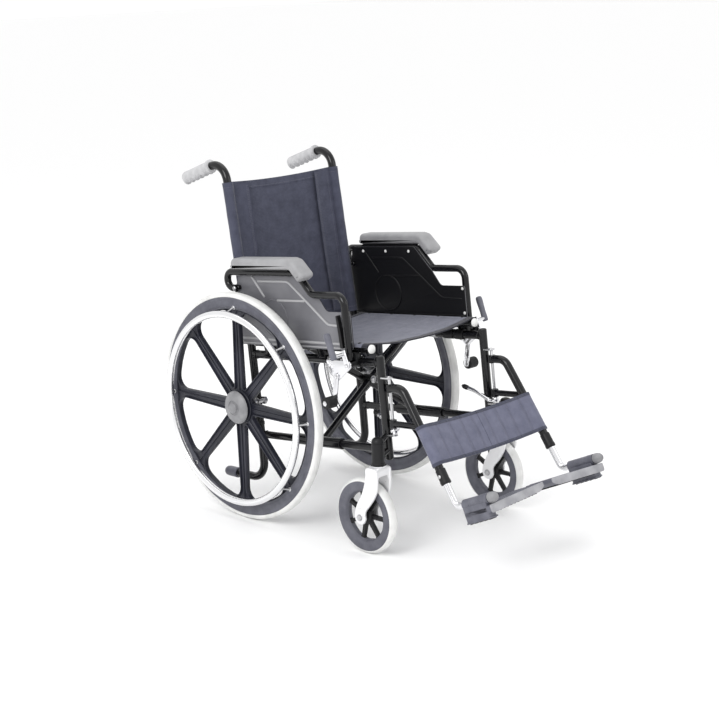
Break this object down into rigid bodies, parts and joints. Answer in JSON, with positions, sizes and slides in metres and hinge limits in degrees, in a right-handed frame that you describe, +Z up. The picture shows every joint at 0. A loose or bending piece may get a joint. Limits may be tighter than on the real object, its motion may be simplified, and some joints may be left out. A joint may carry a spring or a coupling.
{
  "type": "manual wheelchair",
  "caption": "Folding manual wheelchair with spoked drive wheels, handrims, swivel casters, flip-back armrests, swing-away footrests and push-to-lock brakes on a cross-braced tube frame.",
  "frame": {"origin": "on the floor under the middle of the chair: halfway between its sides, and 0.264 m in front of the rear axle", "axes": "-Y is the way the chair faces, +X is the left side of its user, +Z is up"},
  "size_m": [0.604, 1.1376, 0.9374],
  "materials": {
    "frame": "gloss black",
    "chrome": "polished",
    "steel": "zinc plated",
    "mag": "satin moulded nylon",
    "tyre": "light solid rubber",
    "grey_plastic": "satin grey",
    "dark_plastic": "moulded",
    "black_rubber": "matt",
    "fork": "light powder coat",
    "nylon": "woven nylon",
    "pad": "moulded foam skin"
  },
  "bodies": {
    "chair_left": {"side_frame_left": "frame", "back_cane_left": "frame", "push_grip_left": "grey_plastic", "tipping_tip_left": "black_rubber", "rear_axle_left": "steel", "brake_bracket_left": "steel", "back_sling": "nylon"},
    "chair_right": {"side_frame_right": "frame", "back_cane_right": "frame", "push_grip_right": "grey_plastic", "tipping_tip_right": "black_rubber", "rear_axle_right": "steel", "brake_bracket_right": "steel"},
    "brace_a": {"brace_bar_a": "frame", "brace_centre_bolt": "steel", "seat_sling": "nylon"},
    "brace_b": {"brace_bar_b": "frame"},
    "wheel_left": {"rear_wheel_left": "mag", "rear_tyre_left": "tyre", "handrim_left": "chrome", "hub_cap_left": "grey_plastic"},
    "caster_fork_left": {"caster_fork_left": "fork", "caster_axle_left": "steel"},
    "caster_wheel_left": {"caster_wheel_left": "mag", "caster_tyre_left": "tyre"},
    "armrest_left": {"armrest_frame_left": "frame", "armrest_pad_left": "pad", "skirt_guard_left": "dark_plastic"},
    "armrest_latch_left": {"armrest_latch_left": "dark_plastic"},
    "brake_lever_left": {"brake_lever_left": "chrome"},
    "brake_arm_left": {"brake_arm_left": "chrome", "brake_shoe_left": "grey_plastic"},
    "hanger_left": {"hanger_left": "frame", "calf_strap_left": "nylon"},
    "hanger_latch_left": {"hanger_latch_left": "steel"},
    "extension_left": {"extension_tube_left": "chrome"},
    "footplate_collar_left": {"footplate_collar_left": "dark_plastic"},
    "footplate_left": {"footplate_left": "grey_plastic"},
    "wheel_right": {"rear_wheel_right": "mag", "rear_tyre_right": "tyre", "handrim_right": "chrome", "hub_cap_right": "grey_plastic"},
    "caster_fork_right": {"caster_fork_right": "fork", "caster_axle_right": "steel"},
    "caster_wheel_right": {"caster_wheel_right": "mag", "caster_tyre_right": "tyre"},
    "armrest_right": {"armrest_frame_right": "frame", "armrest_pad_right": "pad", "skirt_guard_right": "dark_plastic"},
    "armrest_latch_right": {"armrest_latch_right": "dark_plastic"},
    "brake_lever_right": {"brake_lever_right": "chrome"},
    "brake_arm_right": {"brake_arm_right": "chrome", "brake_shoe_right": "grey_plastic"},
    "hanger_right": {"hanger_right": "frame", "calf_strap_right": "nylon"},
    "hanger_latch_right": {"hanger_latch_right": "steel"},
    "extension_right": {"extension_tube_right": "chrome"},
    "footplate_collar_right": {"footplate_collar_right": "dark_plastic"},
    "footplate_right": {"footplate_right": "grey_plastic"}
  },
  "joints": [
    {"name": "fold", "type": "hinge", "parent": "chair_left", "child": "brace_a", "pos_m": [0.191, 0.03639, 0.2365], "axis": [0, 0.9954, -0.0958], "range_deg": [0, 46], "deforming": ["seat_sling", "back_sling", "calf_strap_left", "calf_strap_right"]},
    {"name": "brace_cross", "type": "hinge", "parent": "brace_a", "child": "brace_b", "pos_m": [0, 0.04841, 0.36142], "axis": [0, 0.9954, -0.0958], "range_deg": [-92, 0]},
    {"name": "side_fold", "type": "hinge", "parent": "brace_b", "child": "chair_right", "pos_m": [-0.191, 0.03639, 0.2365], "axis": [0, 0.9954, -0.0958], "range_deg": [0, 46]},
    {"name": "wheel_spin_left", "type": "hinge", "parent": "chair_left", "child": "wheel_left", "pos_m": [0.256, 0.264, 0.305], "axis": [1, 0, 0], "continuous": true},
    {"name": "caster_swivel_left", "type": "hinge", "parent": "chair_left", "child": "caster_fork_left", "pos_m": [0.2405, -0.224, 0.236], "axis": [0, 0, 1], "continuous": true},
    {"name": "caster_spin_left", "type": "hinge", "parent": "caster_fork_left", "child": "caster_wheel_left", "pos_m": [0.2405, -0.18, 0.0965], "axis": [1, 0, 0], "continuous": true},
    {"name": "armrest_flip_left", "type": "hinge", "parent": "chair_left", "child": "armrest_left", "pos_m": [0.2225, 0.29765, 0.61269], "axis": [-1, 0, 0], "range_deg": [0, 90]},
    {"name": "armrest_latch_left", "type": "hinge", "parent": "armrest_left", "child": "armrest_latch_left", "pos_m": [0.2225, -0.09213, 0.55026], "axis": [1, 0, 0], "range_deg": [0, 8], "stiffness_Nm_per_rad": 0.06, "springref_deg": -2.86},
    {"name": "brake_left", "type": "hinge", "parent": "chair_left", "child": "brake_lever_left", "pos_m": [0.2454, -0.12985, 0.47152], "axis": [1, 0, 0], "range_deg": [0, 70]},
    {"name": "brake_arm_left", "type": "hinge", "parent": "chair_left", "child": "brake_arm_left", "pos_m": [0.2454, -0.09092, 0.43763], "axis": [1, 0, 0], "range_deg": [0, 42.5]},
    {"name": "footrest_swing_left", "type": "hinge", "parent": "chair_left", "child": "hanger_left", "pos_m": [0.191, -0.22631, 0.3723], "axis": [0, 0.0958, 0.9954], "range_deg": [0, 90]},
    {"name": "footrest_latch_left", "type": "hinge", "parent": "chair_left", "child": "hanger_latch_left", "pos_m": [0.191, -0.2323, 0.31009], "axis": [0, 0.0958, 0.9954], "range_deg": [0, 7], "stiffness_Nm_per_rad": 0.3, "springref_deg": -2.86},
    {"name": "footrest_height_left", "type": "slide", "parent": "hanger_left", "child": "extension_left", "axis": [0.029, -0.559, -0.8287], "range_m": [-0.03, 0.06]},
    {"name": "footplate_stow_left", "type": "hinge", "parent": "extension_left", "child": "footplate_collar_left", "pos_m": [0.2, -0.44431, 0.1628], "axis": [0, 0.9135, -0.4067], "range_deg": [0, 110]},
    {"name": "footplate_flip_left", "type": "hinge", "parent": "footplate_collar_left", "child": "footplate_left", "pos_m": [0.2, -0.44431, 0.1628], "axis": [0, 0.9135, -0.4067], "range_deg": [0, 90]},
    {"name": "wheel_spin_right", "type": "hinge", "parent": "chair_right", "child": "wheel_right", "pos_m": [-0.256, 0.264, 0.305], "axis": [1, 0, 0], "continuous": true},
    {"name": "caster_swivel_right", "type": "hinge", "parent": "chair_right", "child": "caster_fork_right", "pos_m": [-0.2405, -0.224, 0.236], "axis": [0, 0, 1], "continuous": true},
    {"name": "caster_spin_right", "type": "hinge", "parent": "caster_fork_right", "child": "caster_wheel_right", "pos_m": [-0.2405, -0.18, 0.0965], "axis": [1, 0, 0], "continuous": true},
    {"name": "armrest_flip_right", "type": "hinge", "parent": "chair_right", "child": "armrest_right", "pos_m": [-0.2225, 0.29765, 0.61269], "axis": [-1, 0, 0], "range_deg": [0, 90]},
    {"name": "armrest_latch_right", "type": "hinge", "parent": "armrest_right", "child": "armrest_latch_right", "pos_m": [-0.2225, -0.09213, 0.55026], "axis": [1, 0, 0], "range_deg": [0, 8], "stiffness_Nm_per_rad": 0.06, "springref_deg": -2.86},
    {"name": "brake_right", "type": "hinge", "parent": "chair_right", "child": "brake_lever_right", "pos_m": [-0.2454, -0.12985, 0.47152], "axis": [1, 0, 0], "range_deg": [0, 70]},
    {"name": "brake_arm_right", "type": "hinge", "parent": "chair_right", "child": "brake_arm_right", "pos_m": [-0.2454, -0.09092, 0.43763], "axis": [1, 0, 0], "range_deg": [0, 42.5]},
    {"name": "footrest_swing_right", "type": "hinge", "parent": "chair_right", "child": "hanger_right", "pos_m": [-0.191, -0.22631, 0.3723], "axis": [0, -0.0958, -0.9954], "range_deg": [0, 90]},
    {"name": "footrest_latch_right", "type": "hinge", "parent": "chair_right", "child": "hanger_latch_right", "pos_m": [-0.191, -0.2323, 0.31009], "axis": [0, -0.0958, -0.9954], "range_deg": [0, 7], "stiffness_Nm_per_rad": 0.3, "springref_deg": -2.86},
    {"name": "footrest_height_right", "type": "slide", "parent": "hanger_right", "child": "extension_right", "axis": [-0.029, -0.559, -0.8287], "range_m": [-0.03, 0.06]},
    {"name": "footplate_stow_right", "type": "hinge", "parent": "extension_right", "child": "footplate_collar_right", "pos_m": [-0.2, -0.44431, 0.1628], "axis": [0, -0.9135, 0.4067], "range_deg": [0, 110]},
    {"name": "footplate_flip_right", "type": "hinge", "parent": "footplate_collar_right", "child": "footplate_right", "pos_m": [-0.2, -0.44431, 0.1628], "axis": [0, -0.9135, 0.4067], "range_deg": [0, 90]}
  ],
  "couplings": [
    {"joint": "brace_cross", "follows": "fold", "ratio": -2},
    {"joint": "side_fold", "follows": "fold", "ratio": 1},
    {"joint": "brake_arm_left", "follows": "brake_left", "ratio": 0.60714},
    {"joint": "footplate_stow_left", "follows": "fold", "ratio": 2.3913},
    {"joint": "brake_arm_right", "follows": "brake_right", "ratio": 0.60714},
    {"joint": "footplate_stow_right", "follows": "fold", "ratio": 2.3913}
  ]
}
